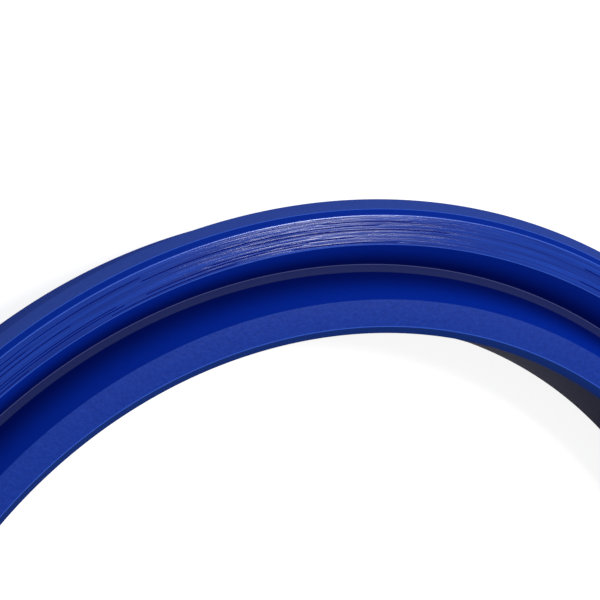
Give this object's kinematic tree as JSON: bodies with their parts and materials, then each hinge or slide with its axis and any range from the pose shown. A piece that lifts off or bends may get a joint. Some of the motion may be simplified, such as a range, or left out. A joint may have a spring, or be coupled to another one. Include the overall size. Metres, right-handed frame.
{
  "type": "u cup seal",
  "caption": "U cup hydraulic seal: a blue polyurethane ring with a flat heel, trimmed lips and an open groove that faces the pressure.",
  "frame": {"origin": "centre of the ring on the plane of the heel's flat underside", "axes": "+Z along the ring's axis, from the heel towards the open groove and the lips"},
  "size_m": [0.101, 0.101, 0.01],
  "materials": {
    "polyurethane_blue": "satin"
  },
  "bodies": {
    "root": {"u_cup_seal": "polyurethane_blue"}
  },
  "joints": []
}
